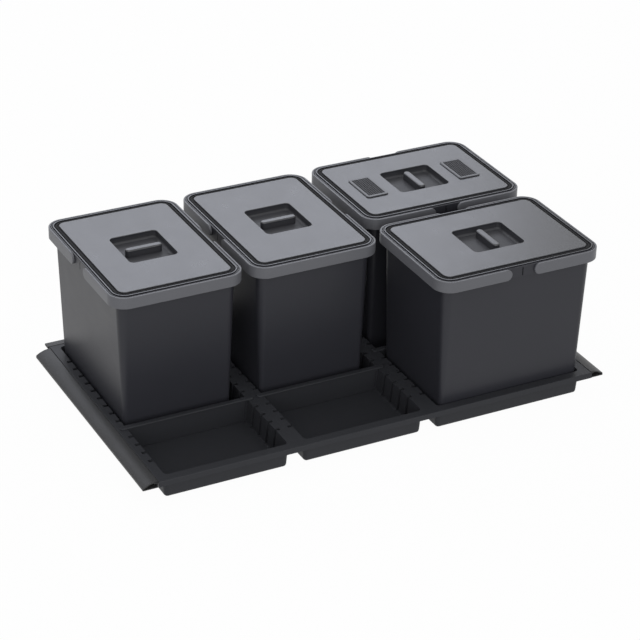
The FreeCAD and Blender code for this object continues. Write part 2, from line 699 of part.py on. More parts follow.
def build_cage(body, word, y):
    """A filter cage below the lid, open at the top, with a rim at its bottom."""
    top = size("lid_top")
    outer = (size("cage_out_long"), size("cage_out_wide"), size("cage_corner") + size("cage_wall"), 0, y)
    inner = (size("cage_in_long"), size("cage_in_wide"), size("cage_corner"), 0, y)
    opening = (size("cage_open_long"), size("cage_open_wide"), size("cage_corner") / 2, 0, y)
    add_slab(body, word + "Cage", [outer], size("cage_bottom"), top - size("lid_skin") / 2)
    cut_slab(body, word + "CageRoom", [inner], size("cage_floor"), top)
    cut_slab(body, word + "CageOpening", [opening], size("cage_bottom"), size("cage_floor"))


def build_seal(name):
    """The ring in a lid's groove: a flat base with a rib along its middle."""
    body = new_body(name)
    seat = size("groove_floor") + size("seal_seat")
    add_slab(body, "Base", [outline_of("seal_out"), outline_of("seal_in")], seat, seat + size("seal_base"))
    rib = [outline_of("seal_rib_out"), outline_of("seal_rib_in")]
    add_slab(body, "Rib", rib, seat, size("groove_floor") + size("seal_rib_tall"))
    return body


# ---------------------------------------------------------------------------------------------
# Handles
# ---------------------------------------------------------------------------------------------

STRAP_IN = outline_of("strap_in")
STRAP_OUT = outline_of("strap_out")


def build_handle(name):
    """A U-shaped strap round the front half of the rim, with a pivot pin at each end."""
    body = new_body(name)
    top = size("strap_top")
    bottom = top - size("strap_tall")
    add_slab(body, "Ring", [STRAP_OUT, STRAP_IN], bottom, top)
    half = size("strap_out_width") / 2 + 5
    front = -size("pivot_from_middle")
    back = size("strap_out_length") / 2 + 5
    sketch = level_sketch(body, "OtherHalfOutline", top)
    add_polygon(sketch, [(-half, front), (half, front), (half, back), (-half, back)])
    extrude(body, "Pocket", "OtherHalf", sketch, size("strap_tall"))

    # full-round ends, and the pins that turn in the rim
    face = size("strap_in_width") / 2
    sketch = new_sketch(body, "EndOutline", "YZ_Plane", face)
    add_circle(sketch, size("strap_tall") / 2, front, size("pivot_tall"))
    end = extrude(body, "Pad", "End", sketch, size("strap_wall"))
    sketch = new_sketch(body, "PinOutline", "YZ_Plane", face + size("strap_wall") / 2)
    add_circle(sketch, size("pin_radius"), front, size("pivot_tall"))
    pin = extrude(body, "Pad", "Pin", sketch, size("pin_length") + size("strap_wall") / 2, reverse=True)
    both = mirror(body, "OtherEnd", [end, pin])
    round_edges(body, "StrapRound", both, size("strap_round"), lambda p: on_outline(p, STRAP_OUT))
    return body


# ---------------------------------------------------------------------------------------------
# Vent covers and filters
# ---------------------------------------------------------------------------------------------


def build_vent_cover(name, side):
    """A raised cover with a square mesh, and a collar that reaches into the filter cage."""
    body = new_body(name)
    y = size("vent_offset") * side
    top = size("lid_top") + size("vent_rise")
    seat = size("lid_top") + size("vent_seat")
    plug_bottom = size("lid_top") - size("plug_drop")
    play = size("cage_play") * 2
    cover = (size("vent_long"), size("vent_wide"), size("vent_corner"), 0, y)
    plug = (size("cage_in_long") - play, size("cage_in_wide") - play, size("cage_corner") - size("cage_play"), 0, y)
    mesh = (size("mesh_long") - play, size("mesh_wide") - play, size("cage_corner") / 2, 0, y)
    frame = add_slab(body, "Frame", [cover], seat, top)
    bevel = round_edges(body, "FrameBevel", frame, size("vent_bevel"),
                        lambda p: near(p.z, top) and on_outline(p, cover), "Chamfer")
    add_slab(body, "Collar", [plug], plug_bottom, seat)
    room = level_sketch(body, "RoomOutline", plug_bottom)
    add_outline(room, *mesh)
    extrude(body, "Pocket", "Room", room, top - size("vent_skin") - plug_bottom, reverse=True)

    # one hole of the mesh at its corner, repeated in columns and rows
    hole = size("mesh_hole")
    pitch = size("mesh_pitch")
    start_x = -(pitch * (size("mesh_rows") - 1) + hole) / 2
    start_y = y - (pitch * (size("mesh_columns") - 1) + hole) / 2
    sketch = level_sketch(body, "HoleOutline", top)
    add_polygon(sketch, [
        (start_x, start_y),
        (start_x + hole, start_y),
        (start_x + hole, start_y + hole),
        (start_x, start_y + hole),
    ])
    first = extrude(body, "Pocket", "Hole", sketch, size("vent_skin"))
    grid = body.newObject("PartDesign::MultiTransform", "Mesh")
    grid.Originals = [first]
    steps = []
    for word, axis, count in (("Rows", "X_Axis", "mesh_rows"), ("Columns", "Y_Axis", "mesh_columns")):
        row = body.newObject("PartDesign::LinearPattern", "Mesh" + word)
        row.Direction = (base_element(body, axis), [""])
        row.Mode = "Spacing"
        row.setExpression("Offset", pitch.formula)
        row.setExpression("Occurrences", size(count).formula)
        steps.append(row)
    grid.Transformations = steps
    body.Tip = grid
    return body


def build_filter(name, side):
    """A charcoal filter cartridge that lies in its cage."""
    body = new_body(name)
    y = size("vent_offset") * side
    bottom = size("cage_floor") + size("filter_seat")
    outline = (size("filter_long"), size("filter_wide"), size("cage_corner") - size("cage_play"), 0, y)
    add_slab(body, "Cartridge", [outline], bottom, bottom + size("filter_thick"))
    return body


# ---------------------------------------------------------------------------------------------
# Tray
# ---------------------------------------------------------------------------------------------

WELLS = (
    ("Left", size("left_well_x"), size("narrow_well")),
    ("Middle", size("middle_well_x"), size("narrow_well")),
    ("Right", size("right_well_x"), size("wide_well")),
)


def well_outline(x, width, wider):
    """The outline of a well, made wider all round by the given amount."""
    grown = wider * 2
    return (width + grown, size("well_depth_y") + grown, size("well_corner") + wider, x, size("well_middle_y"))


def groove_profile(sketch, x, width, reach, bottom, top):
    """Across the tray: a bar that reaches into both walls of a well and follows their lean."""
    half_top = width / 2 + reach
    half_bottom = half_top - size("well_lean")
    ledge = size("ledge_tall")
    corners = [(x - half_bottom, bottom), (x + half_bottom, bottom), (x + half_top, ledge)]
    if top.value > ledge.value:
        corners += [(x + half_top, top), (x - half_top, top)]
    corners.append((x - half_top, ledge))
    add_polygon(sketch, corners)


def groove_rows(body, kind, word, reach, long, bottom, top):
    """Such a bar in each well at the first groove, repeated from groove to groove."""
    sketch = new_sketch(body, word + "Profile", "XZ_Plane", -(size("well_front") + size("groove_first")))
    for _, x, width in WELLS:
        groove_profile(sketch, x, width, reach, bottom, top)
    first = extrude(body, kind, word, sketch, long, both_ways=True)
    return repeat(body, word + "Rows", first, "Y_Axis", size("groove_pitch"), size("groove_count"))


def side_trim_run():
    """Middle and length of the side trims, front to back."""
    front = size("deck_front") + size("side_trim_front")
    back = size("deck_rear") - size("side_trim_rear")
    return (front + back) / 2, back - front


def build_tray(name):
    """The base tray with three toothed wells, a front lip, and tongues for the trims."""
    body = new_body(name)
    wall = size("tray_wall")
    ledge = size("ledge_tall")
    lean = size("well_lean")
    half = size("fold_across") / 2

    # the ledge, and the lip in front
    front = size("deck_front")
    back = size("deck_rear")
    thick = size("deck_thick")
    outline = level_sketch(body, "DeckOutline", ledge)
    add_polygon(outline, [(-half, front), (half, front), (half, back), (-half, back)])
    extrude(body, "Pad", "Deck", outline, thick, reverse=True)
    sketch = new_sketch(body, "LipProfile", "YZ_Plane")
    lip_front = front - size("lip_lean")
    lip_low = ledge - size("lip_drop")
    add_polygon(sketch, [
        (front, ledge),
        (front + thick, ledge),
        (front + thick, ledge - thick),
        (lip_front + thick, lip_low),
        (lip_front, lip_low),
    ])
    lip = extrude(body, "Pad", "Lip", sketch, half * 2, both_ways=True)
    bevel = round_edges(body, "EdgeBevel", lip, size("joint_bevel"),
                        lambda p: near(p.z, ledge) and (near(abs(p.x), half) or near(p.y, back)), "Chamfer")
    round_edges(body, "LipRound", bevel, size("lip_round"), lambda p: near(p.z, ledge) and near(p.y, front))

    # tongues below the ledge's other three edges, which carry the trims
    top = ledge - size("tongue_drop")
    bottom = top - size("tongue_thick")
    root = size("tongue_root")
    reach = size("tongue_reach")
    side_y, side_long = side_trim_run()
    sketch = new_sketch(body, "SideTongueProfile", "XZ_Plane", -side_y)
    add_polygon(sketch, [(half - root, bottom), (half + reach, bottom), (half + reach, top), (half - root, top)])
    tongue = extrude(body, "Pad", "SideTongue", sketch, side_long, both_ways=True)
    mirror(body, "OtherSideTongue", [tongue])
    sketch = new_sketch(body, "RearTongueProfile", "YZ_Plane")
    add_polygon(sketch, [(back - root, bottom), (back + reach, bottom), (back + reach, top), (back - root, top)])
    extrude(body, "Pad", "RearTongue", sketch, half * 2, both_ways=True)

    # the wells: their outside, the teeth of their walls, their inside and the grooves in the teeth
    for word, x, width in WELLS:
        lower = well_outline(x, width, wall - lean)
        upper = well_outline(x, width, wall)
        add_loft(body, "AdditiveLoft", word + "Well", lower, None, upper, ledge)
    round_edges(body, "WellFootRound", body.Tip, size("well_round") + wall, lambda p: near(p.z, 0))
    groove_rows(body, "Pad", "Tooth", size("groove_reach") + wall, size("groove_slot") + wall * 2, 0, ledge)
    for word, x, width in WELLS:
        lower = well_outline(x, width, -lean)
        upper = well_outline(x, width, wall * 0)
        add_loft(body, "SubtractiveLoft", word + "Room", lower, wall, upper, ledge)
    round_edges(body, "WellFloorRound", body.Tip, size("well_round"), lambda p: near(p.z, wall))
    groove_rows(body, "Pocket", "Groove", size("groove_reach"), size("groove_slot"), wall, ledge + SLIGHT)
    return body


# ---------------------------------------------------------------------------------------------
# Trims
# ---------------------------------------------------------------------------------------------

SLOT = (
    (size("trim_joint"), size("slot_bottom")),
    (size("slot_end"), size("slot_bottom")),
    (size("slot_end"), size("slot_top")),
    (size("trim_joint"), size("slot_top")),
)


def add_section(sketch, edge, outwards, corners):
    """A closed outline whose corners count outwards from the ledge's edge and down from the ledge."""
    ledge = size("ledge_tall")
    add_polygon(sketch, [((edge + out) * outwards, ledge - down) for out, down in corners])


def build_side_trim(name, outwards):
    """A hollow profile with a crowned top that grips the tongue at one side of the tray."""
    body = new_body(name)
    edge = size("fold_across") / 2
    joint = size("trim_joint")
    bevel = size("joint_bevel")
    out = size("side_trim_out")
    wall = size("side_trim_wall")
    low = size("side_trim_low")
    crown = (size("crown_out"), size("crown_drop"))
    middle, length = side_trim_run()
    sketch = new_sketch(body, "SectionOutline", "XZ_Plane", -middle)
    add_section(sketch, edge, outwards, [
        (joint, bevel),
        (joint + bevel, size("crown_drop") * 0),
        crown,
        (out - bevel / 2, size("side_trim_edge")),
        (out, size("side_trim_edge") + bevel),
        (out, low),
        (joint, low),
        *SLOT,
    ])
    add_section(sketch, edge, outwards, [
        (joint + wall, size("slot_bottom") + wall),
        (size("slot_end") + wall, size("slot_bottom") + wall),
        (size("slot_end") + wall, crown[1] + wall * 1.35),
        (crown[0], crown[1] + wall * 2.35),
        (out - wall, size("side_trim_edge") + wall),
        (out - wall, low - wall),
        (joint + wall, low - wall),
    ])
    section = extrude(body, "Pad", "Section", sketch, length, both_ways=True)
    ridge = (edge + crown[0]).value
    height = size("ledge_tall") - crown[1]
    round_edges(body, "Crown", section, size("crown_round"),
                lambda p: near(abs(p.x), ridge) and near(p.z, height))
    return body


def build_rear_trim(name):
    """A flat hollow profile that grips the tongue behind the tray."""
    body = new_body(name)
    edge = size("deck_rear")
    joint = size("trim_joint")
    bevel = size("joint_bevel")
    out = size("rear_trim_out")
    wall = size("rear_trim_wall")
    fall = size("rear_trim_fall")
    low = size("rear_trim_tall")
    sketch = new_sketch(body, "SectionOutline", "YZ_Plane")
    add_section(sketch, edge, 1, [
        (joint, bevel),
        (joint + bevel, fall * 0),
        (out - bevel, fall),
        (out, fall + bevel),
        (out, low),
        (joint, low),
        *SLOT,
    ])
    add_section(sketch, edge, 1, [
        (size("slot_end") + wall, fall + wall),
        (out - wall, fall + wall),
        (out - wall, low - wall),
        (size("slot_end") + wall, low - wall),
    ])
    length = size("fold_across") + size("rear_trim_over") * 2
    extrude(body, "Pad", "Section", sketch, length, both_ways=True)
    return body


# ---------------------------------------------------------------------------------------------
# Dividers
# ---------------------------------------------------------------------------------------------


def build_divider(name, x, width, groove):
    """An upright plate that follows the walls of its well, with thicker ends that fill the grooves,
    under a round-ended rail."""
    body = new_body(name)
    y = size("well_front") + size("groove_first") + size("groove_pitch") * groove
    ledge = size("ledge_tall")
    seat = ledge + size("rail_seat")
    middle = seat + size("rail_thick") / 2
    foot = size("tray_wall") + size("divider_foot")
    lean = size("well_lean")
    reach = size("groove_reach") - size("divider_play")
    sketch = new_sketch(body, "PlateProfile", "XZ_Plane", -y)
    groove_profile(sketch, x, width, reach, foot, middle)
    extrude(body, "Pad", "Plate", sketch, size("divider_thick"), both_ways=True)
    sketch = new_sketch(body, "EndProfile", "XZ_Plane", -y)
    outer = width / 2 + reach
    inner = width / 2 - size("divider_end_lap")
    for side in (1, -1):
        add_polygon(sketch, [
            ((outer - lean) * side + x, foot),
            (outer * side + x, ledge),
            (outer * side + x, middle),
            (inner * side + x, middle),
            (inner * side + x, ledge),
            ((inner - lean) * side + x, foot),
        ])
    extrude(body, "Pad", "Ends", sketch, size("groove_slot") - size("divider_play") * 2, both_ways=True)
    sketch = level_sketch(body, "RailOutline", seat)
    length = width + (size("groove_reach") + size("rail_lap")) * 2
    add_stadium(sketch, length, size("rail_wide"), x, y)
    rail = extrude(body, "Pad", "Rail", sketch, size("rail_thick"))
    top = seat + size("rail_thick")
    round_edges(body, "RailRound", rail, size("rail_round"), lambda p: near(p.z, top))
    return body


# ---------------------------------------------------------------------------------------------
# Everything in its place
# ---------------------------------------------------------------------------------------------


def put(body, x, y, turn):
    """Stands a piece of a bin in the tray, turned about the upright axis."""
    body.Placement = FreeCAD.Placement(
        Vector(x.value, y.value, size("bin_foot").value),
        FreeCAD.Rotation(Vector(0, 0, 1), turn),
    )
    body.setExpression("Placement.Base.x", x.formula)
    body.setExpression("Placement.Base.y", y.formula)
    body.setExpression("Placement.Base.z", size("bin_foot").formula)
    return body


narrow_y = size("well_middle_y") + size("narrow_bin_back")
wide_x = size("right_well_x") + size("wide_bin_aside")
half_apart = size("wide_bin_apart") / 2

# name, place and turn of each bin, and the names of its two handles
BINS = (
    ("a", size("left_well_x") - size("narrow_bin_aside"), narrow_y, 0, ("front", "rear")),
    ("b", size("middle_well_x") - size("narrow_bin_aside"), narrow_y, 0, ("front", "rear")),
    ("c", wide_x, size("well_middle_y") + half_apart, 90, ("right", "left")),
    ("d", wide_x, size("well_middle_y") - half_apart, 90, ("right", "left")),
)

# name, well and groove of each divider
DIVIDERS = (
    ("left", size("left_well_x"), size("narrow_well"), "narrow_groove"),
    ("middle", size("middle_well_x"), size("narrow_well"), "narrow_groove"),
    ("right", size("right_well_x"), size("wide_well"), "wide_groove"),
)

pieces = [
    build_tray("tray"),
    build_side_trim("side_trim_left", -1),
    build_side_trim("side_trim_right", 1),
    build_rear_trim("rear_trim"),
]
for word, x, width, groove in DIVIDERS:
    pieces.append(build_divider("divider_" + word, x, width, size(groove)))
for letter, x, y, turn, ends in BINS:
    pieces.append(put(build_bucket("bucket_" + letter), x, y, turn))
    pieces.append(put(build_lid("lid_" + letter, letter == "c"), x, y, turn))
    pieces.append(put(build_seal("lid_seal_" + letter), x, y, turn))
    pieces.append(put(build_handle("handle_%s_%s" % (letter, ends[0])), x, y, turn))
    pieces.append(put(build_handle("handle_%s_%s" % (letter, ends[1])), x, y, turn + 180))
    if letter == "c":
        for word, side in (("left", 1), ("right", -1)):
            pieces.append(put(build_vent_cover("vent_cover_" + word, side), x, y, turn))
            pieces.append(put(build_filter("charcoal_filter_" + word, side), x, y, turn))

doc.recompute()

for item in doc.Objects:
    if "Invalid" in item.State or "Error" in item.State:
        raise RuntimeError("not built: " + item.Name + " in " + str(item.State))

os.makedirs("parts", exist_ok=True)
for piece in pieces:
    shape = piece.Shape
    if shape.isNull() or not shape.isValid() or len(shape.Solids) != 1:
        raise RuntimeError("not one sound solid: " + piece.Label)
    shape.exportStep("parts/%s.step" % piece.Label)
    print(piece.Label, round(shape.Volume / 1000, 1))
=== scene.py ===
import json
import math

import bpy
from mathutils import Matrix, Vector


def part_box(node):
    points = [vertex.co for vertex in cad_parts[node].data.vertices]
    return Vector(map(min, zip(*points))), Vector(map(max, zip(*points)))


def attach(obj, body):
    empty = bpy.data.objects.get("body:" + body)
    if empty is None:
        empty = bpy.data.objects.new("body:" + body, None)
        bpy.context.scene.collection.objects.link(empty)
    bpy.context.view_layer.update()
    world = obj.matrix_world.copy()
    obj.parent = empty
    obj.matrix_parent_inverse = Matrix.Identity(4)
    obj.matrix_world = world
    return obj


# A drawer insert of dark moulded plastic with four lidded waste bins. The solids come from the
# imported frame. This script gives them their finishes, adds the fine moulded detail, and sets up
# the camera, the floor and the lamps. All lengths are in metres.

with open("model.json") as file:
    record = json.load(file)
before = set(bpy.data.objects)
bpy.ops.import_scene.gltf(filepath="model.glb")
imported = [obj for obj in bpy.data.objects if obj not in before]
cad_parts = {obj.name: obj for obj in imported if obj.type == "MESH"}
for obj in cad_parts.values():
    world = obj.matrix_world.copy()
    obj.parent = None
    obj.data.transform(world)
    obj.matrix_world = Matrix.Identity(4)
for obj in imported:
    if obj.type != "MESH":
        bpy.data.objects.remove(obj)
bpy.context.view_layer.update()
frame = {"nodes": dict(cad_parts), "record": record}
scene = bpy.context.scene


def middle_of(node):
    """The middle of a solid's box."""
    low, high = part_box(node)
    return (low + high) / 2


def new_object(name, data):
    """An object with this data, in the scene."""
    thing = bpy.data.objects.new(name, data)
    scene.collection.objects.link(thing)
    return thing


# ---------------------------------------------------------------------------------------------
# Node trees
# ---------------------------------------------------------------------------------------------


class Wire:
    """The output of a node, so that maths between nodes can be written as plain expressions."""

    def __init__(self, graph, socket):
        self.graph = graph
        self.socket = socket

    def joined(self, operation, *values):
        """The result of a Math node on these values."""
        return self.graph.add("ShaderNodeMath", {"operation": operation}, dict(enumerate(values)))

    def __add__(self, other):
        return self.joined("ADD", self, other)

    def __radd__(self, other):
        return self.joined("ADD", other, self)

    def __sub__(self, other):
        return self.joined("SUBTRACT", self, other)

    def __rsub__(self, other):
        return self.joined("SUBTRACT", other, self)

    def __mul__(self, other):
        return self.joined("MULTIPLY", self, other)

    def __rmul__(self, other):
        return self.joined("MULTIPLY", other, self)

    def __lt__(self, other):
        return self.joined("LESS_THAN", self, other)

    def __gt__(self, other):
        return self.joined("GREATER_THAN", self, other)

    def __abs__(self):
        return self.joined("ABSOLUTE", self)

    def beside(self, name):
        """Another output of the same node."""
        return Wire(self.graph, self.socket.node.outputs[name])


class Graph:
    """A node tree under construction."""

    def __init__(self, tree):
        self.tree = tree

    def add(self, kind, settings, sockets, output=0):
        """Makes a node, sets it up, and fills or joins its sockets. Gives back one of its outputs,
        or nothing where a node has none."""
        node = self.tree.nodes.new(kind)
        for key, value in settings.items():
            setattr(node, key, value)
        for key, value in sockets.items():
            if isinstance(value, Wire):
                self.tree.links.new(value.socket, node.inputs[key])
            else:
                node.inputs[key].default_value = value
        return Wire(self, node.outputs[output]) if node.outputs else None

    def parts(self, vector):
        """The three numbers of a vector."""
        x = self.add("ShaderNodeSeparateXYZ", {}, {"Vector": vector}, "X")
        return x, x.beside("Y"), x.beside("Z")


# ---------------------------------------------------------------------------------------------
# Finishes
# ---------------------------------------------------------------------------------------------


class Finish(Graph):
    """A material under construction."""

    def __init__(self, name):
        self.material = bpy.data.materials.new(name)
        self.material.use_nodes = True
        super().__init__(self.material.node_tree)
        self.tree.nodes.clear()
        self.place = self.add("ShaderNodeTexCoord", {}, {}, "Object")

    def noise(self, scale, detail=2.0, roughness=0.5, stretch=None):
        """Soft random values round 0.5. The scale is in waves for each metre, and a small stretch
        along an axis draws the waves out along it."""
        where = self.place
        if stretch:
            where = self.add("ShaderNodeMapping", {}, {"Vector": where, "Scale": stretch})
        sockets = {"Vector": where, "Scale": scale, "Detail": detail, "Roughness": roughness}
        return self.add("ShaderNodeTexNoise", {}, sockets)

    def between(self, low, high, factor):
        """A colour between two colours."""
        sockets = {"Factor": factor, "A": (*low, 1.0), "B": (*high, 1.0)}
        return self.add("ShaderNodeMix", {"data_type": "RGBA"}, sockets, 2)

    def bump(self, height, strength, distance):
        """Turned normals, as on a surface that rises and falls with the height."""
        sockets = {"Strength": strength, "Distance": distance, "Height": height}
        return self.add("ShaderNodeBump", {}, sockets)

    def surface(self, sockets):
        """Ends the material with a main shader that has these values."""
        return self.show(self.add("ShaderNodeBsdfPrincipled", {}, sockets))

    def show(self, shader):
        """Ends the material with this shader."""
        self.add("ShaderNodeOutputMaterial", {}, {"Surface": shader})
        return self.material


MESH_WIDE = 0.0312     # the square mesh of one vent cover, left to right
MESH_LONG = 0.0624     # and front to back
RECESS_EDGE = 0.004    # how far below a lid's top its duller finish begins
DULLER = 0.3           # what a duller finish adds to the roughness
COLOUR_SPREAD = 0.10   # how far flow marks lighten and darken a colour


def mesh_field(finish):
    """One over the square mesh of the two vent covers, and zero over the frames round it."""
    left, right = middle_of("vent_cover_left"), middle_of("vent_cover_right")
    x, y, _ = finish.parts(finish.place)
    across = abs(abs(x - (left.x + right.x) / 2) - (right.x - left.x) / 2)
    return (across < MESH_WIDE / 2) * (abs(y - left.y) < MESH_LONG / 2)


def recess_field(finish):
    """One in the finger recesses and on the undersides of the lids, and zero on their tops."""
    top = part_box("lid_a")[1].z
    _, _, z = finish.parts(finish.place)
    return z < top - RECESS_EDGE


def moulded_plastic(name, colour, roughness, shine, grain=1500.0, relief=0.00008, stretch=None,
                    dull=None):
    """Injection-moulded plastic: faint flow marks in the colour, a fine eroded grain, and a sheen
    that handling has made uneven. The sheen is duller where the dull field is one."""
    finish = Finish(name)
    flow = finish.noise(7.0, detail=4.0, roughness=0.6, stretch=stretch)
    speck = finish.noise(grain * 0.4, detail=1.0)
    dark = [part * (1.0 - COLOUR_SPREAD) for part in colour]
    light = [part * (1.0 + COLOUR_SPREAD) for part in colour]
    fine = finish.noise(grain, roughness=0.6)
    wiped = finish.noise(22.0, detail=3.0, roughness=0.55)
    scuff = finish.noise(90.0, detail=4.0, roughness=0.7, stretch=(1.0, 0.12, 1.0))
    # 0.07 is the mean of the three noises together, so the roughness stays right on average
    sheen = roughness - 0.07 + wiped * 0.07 + fine * 0.03 + scuff * 0.04
    if dull:
        sheen = sheen + dull(finish) * DULLER
    return finish.surface({
        "Base Color": finish.between(dark, light, flow * 0.7 + speck * 0.3),
        "Roughness": sheen,
        "Normal": finish.bump(fine * 0.8 + wiped * 0.2, strength=0.35, distance=relief),
        "Specular IOR Level": shine,
    })


def seal_rubber():
    """Soft black rubber with a little dust in its pores."""
    finish = Finish("seal_rubber")
    dust = finish.noise(140.0, detail=3.0)
    fine = finish.noise(1600.0)
    return finish.surface({
        "Base Color": finish.between((0.006, 0.006, 0.007), (0.014, 0.014, 0.015), dust),
        "Roughness": 0.62 + dust * 0.16,
        "Normal": finish.bump(fine, strength=0.3, distance=0.0001),
        "Specular IOR Level": 0.14,
    })


def charcoal_fleece():
    """Black matted fibres."""
    finish = Finish("charcoal_fleece")
    clump = finish.noise(420.0, detail=4.0, roughness=0.7)
    fibre = finish.noise(1900.0, detail=3.0, roughness=0.6, stretch=(1.0, 0.25, 1.0))
    mix = clump * 0.6 + fibre * 0.4
    return finish.surface({
        "Base Color": finish.between((0.002, 0.002, 0.002), (0.012, 0.012, 0.013), mix),
        "Roughness": 0.88 + clump * 0.08,
        "Normal": finish.bump(clump * 0.5 + fibre * 0.5, strength=0.8, distance=0.0005),
        "Specular IOR Level": 0.05,
    })


PLASTICS = {
    "tray_plastic": {
        "colour": (0.026, 0.027, 0.031), "roughness": 0.46, "shine": 0.16,
        "grain": 1300.0, "relief": 0.00012,
    },
    "trim_plastic": {
        "colour": (0.029, 0.029, 0.030), "roughness": 0.42, "shine": 0.22,
        "relief": 0.0001, "stretch": (1.0, 0.1, 1.0),
    },
    "bucket_plastic": {
        "colour": (0.023, 0.0235, 0.029), "roughness": 0.38, "shine": 0.25, "grain": 1300.0,
    },
    "lid_plastic": {
        "colour": (0.021, 0.0216, 0.0265), "roughness": 0.29, "shine": 0.55, "dull": recess_field,
    },
    "handle_plastic": {
        "colour": (0.108, 0.110, 0.121), "roughness": 0.36, "shine": 0.22,
    },
    "mesh_plastic": {
        "colour": (0.021, 0.0216, 0.0265), "roughness": 0.31, "shine": 0.5, "dull": mesh_field,
    },
}

FINISHES = {name: moulded_plastic(name, **values) for name, values in PLASTICS.items()}
FINISHES["seal_rubber"] = seal_rubber()
FINISHES["filter_fabric"] = charcoal_fleece()

# every solid takes the finish of its slot
for row in frame["record"]["subparts"]:
    mesh = frame["nodes"][row["node"]].data
    mesh.materials.clear()
    mesh.materials.append(FINISHES[row["material_slot"]])

# ---------------------------------------------------------------------------------------------
# Moulded detail that repeats: webs under the rims, ribs under the lids, pleats on the filters
# ---------------------------------------------------------------------------------------------


class Pattern(Graph):
    """A tree of geometry nodes for a solid that repeats, with its sizes as named inputs."""

    def __init__(self, name, *names):
        super().__init__(bpy.data.node_groups.new(name, "GeometryNodeTree"))
        self.keys = {}
        for size in names:
            kind = "NodeSocketInt" if size.startswith("number") else "NodeSocketFloat"
            socket = self.tree.interface.new_socket(size, in_out="INPUT", socket_type=kind)
            self.keys[size] = socket.identifier
        self.tree.interface.new_socket(
            "Solid", in_out="OUTPUT", socket_type="NodeSocketGeometry")
        inlet = self.add("NodeGroupInput", {}, {})
        self.sizes = [inlet.beside(size) for size in names]

    def vector(self, x, y, z):
        """A vector from three numbers."""
        return self.add("ShaderNodeCombineXYZ", {}, {"X": x, "Y": y, "Z": z})

    def spot(self):
        """Where each point lies: along, across and up."""
        return self.parts(self.add("GeometryNodeInputPosition", {}, {}))

    def bar(self, wide, long, tall, narrowing):
        """A bar that hangs from the level of its origin, with sides that draw in downwards."""
        block = self.add("GeometryNodeMeshCube", {}, {"Size": self.vector(wide, long, tall)})
        x, _, z = self.spot()
        bottom = z < 0.0
        shift = self.vector(x * narrowing * bottom * -1.0, 0.0, tall * -0.5)
        return self.add("GeometryNodeSetPosition", {}, {"Geometry": block, "Offset": shift})

    def end(self, copies, material):
        """Turns the copies into one solid mesh of one finish."""
        real = self.add("GeometryNodeRealizeInstances", {}, {"Geometry": copies})
        coated = self.add(
            "GeometryNodeSetMaterial", {}, {"Geometry": real, "Material": material})
        self.add("NodeGroupOutput", {}, {"Solid": coated})

    def bake(self, name, sizes, place):
        """Makes the pattern with these sizes as a plain mesh in its place on the object."""
        carrier = new_object(name + "_carrier", bpy.data.meshes.new(name + "_start"))
        modifier = carrier.modifiers.new("pattern", "NODES")
        modifier.node_group = self.tree
        for size, value in sizes.items():
            modifier[self.keys[size]] = value
        carrier.update_tag()
        ready = carrier.evaluated_get(bpy.context.evaluated_depsgraph_get())
        mesh = bpy.data.meshes.new_from_object(ready)
        carrier.modifiers.clear()
        bpy.data.objects.remove(carrier)
        mesh.transform(place)
        return new_object(name, mesh)


LONG_SIDE = 0.46   # webs farther out than this share of the width stand on a long side


def rim_web_pattern():
    """Upright webs that stiffen the hollow under a rim, in a row along a rounded rectangle. None
    stand at the handles' pins or at the slits."""
    pattern = Pattern(
        "rim_webs", "across", "along", "corner", "number of webs", "reach", "thickness", "height",
        "narrowing", "pin place", "pin room", "slit room")
    (across, along, corner, number, reach, thickness, height, narrowing, pin_place, pin_room,
     slit_room) = pattern.sizes
    square = pattern.add(
        "GeometryNodeCurvePrimitiveQuadrilateral", {"mode": "RECTANGLE"},
        {"Width": across, "Height": along})
    line = pattern.add(
        "GeometryNodeFilletCurve", {"mode": "POLY"},
        {"Curve": square, "Count": 12, "Radius": corner})
    points = pattern.add(
        "GeometryNodeCurveToPoints", {"mode": "COUNT"}, {"Curve": line, "Count": number})
    turn = pattern.add(
        "FunctionNodeAlignRotationToVector", {"axis": "X", "pivot_axis": "Z"},
        {"Vector": points.beside("Normal")})
    x, y, _ = pattern.spot()
    at_pin = abs(abs(y) - pin_place) < pin_room
    at_slit = abs(y) < slit_room
    taken = (abs(x) > across * LONG_SIDE) * (at_pin + at_slit)
    web = pattern.bar(reach, thickness, height, narrowing)
    webs = pattern.add("GeometryNodeInstanceOnPoints", {}, {
        "Points": points, "Selection": 1.0 - taken, "Instance": web, "Rotation": turn})
    pattern.end(webs, FINISHES["bucket_plastic"])
    return pattern


def rib_pattern(name, material):
    """Parallel ribs of one length, a pitch apart, the row centred on its origin."""
    pattern = Pattern(
        name, "length", "thickness", "height", "narrowing", "pitch", "number of ribs")
    length, thickness, height, narrowing, pitch, number = pattern.sizes
    row = pattern.add("GeometryNodeMeshLine", {}, {
        "Count": number,
        "Start Location": pattern.vector((number - 1.0) * pitch * -0.5, 0.0, 0.0),
        "Offset": pattern.vector(pitch, 0.0, 0.0),
    })
    rib = pattern.bar(thickness, length, height, narrowing)
    ribs = pattern.add("GeometryNodeInstanceOnPoints", {}, {"Points": row, "Instance": rib})
    pattern.end(ribs, material)
    return pattern


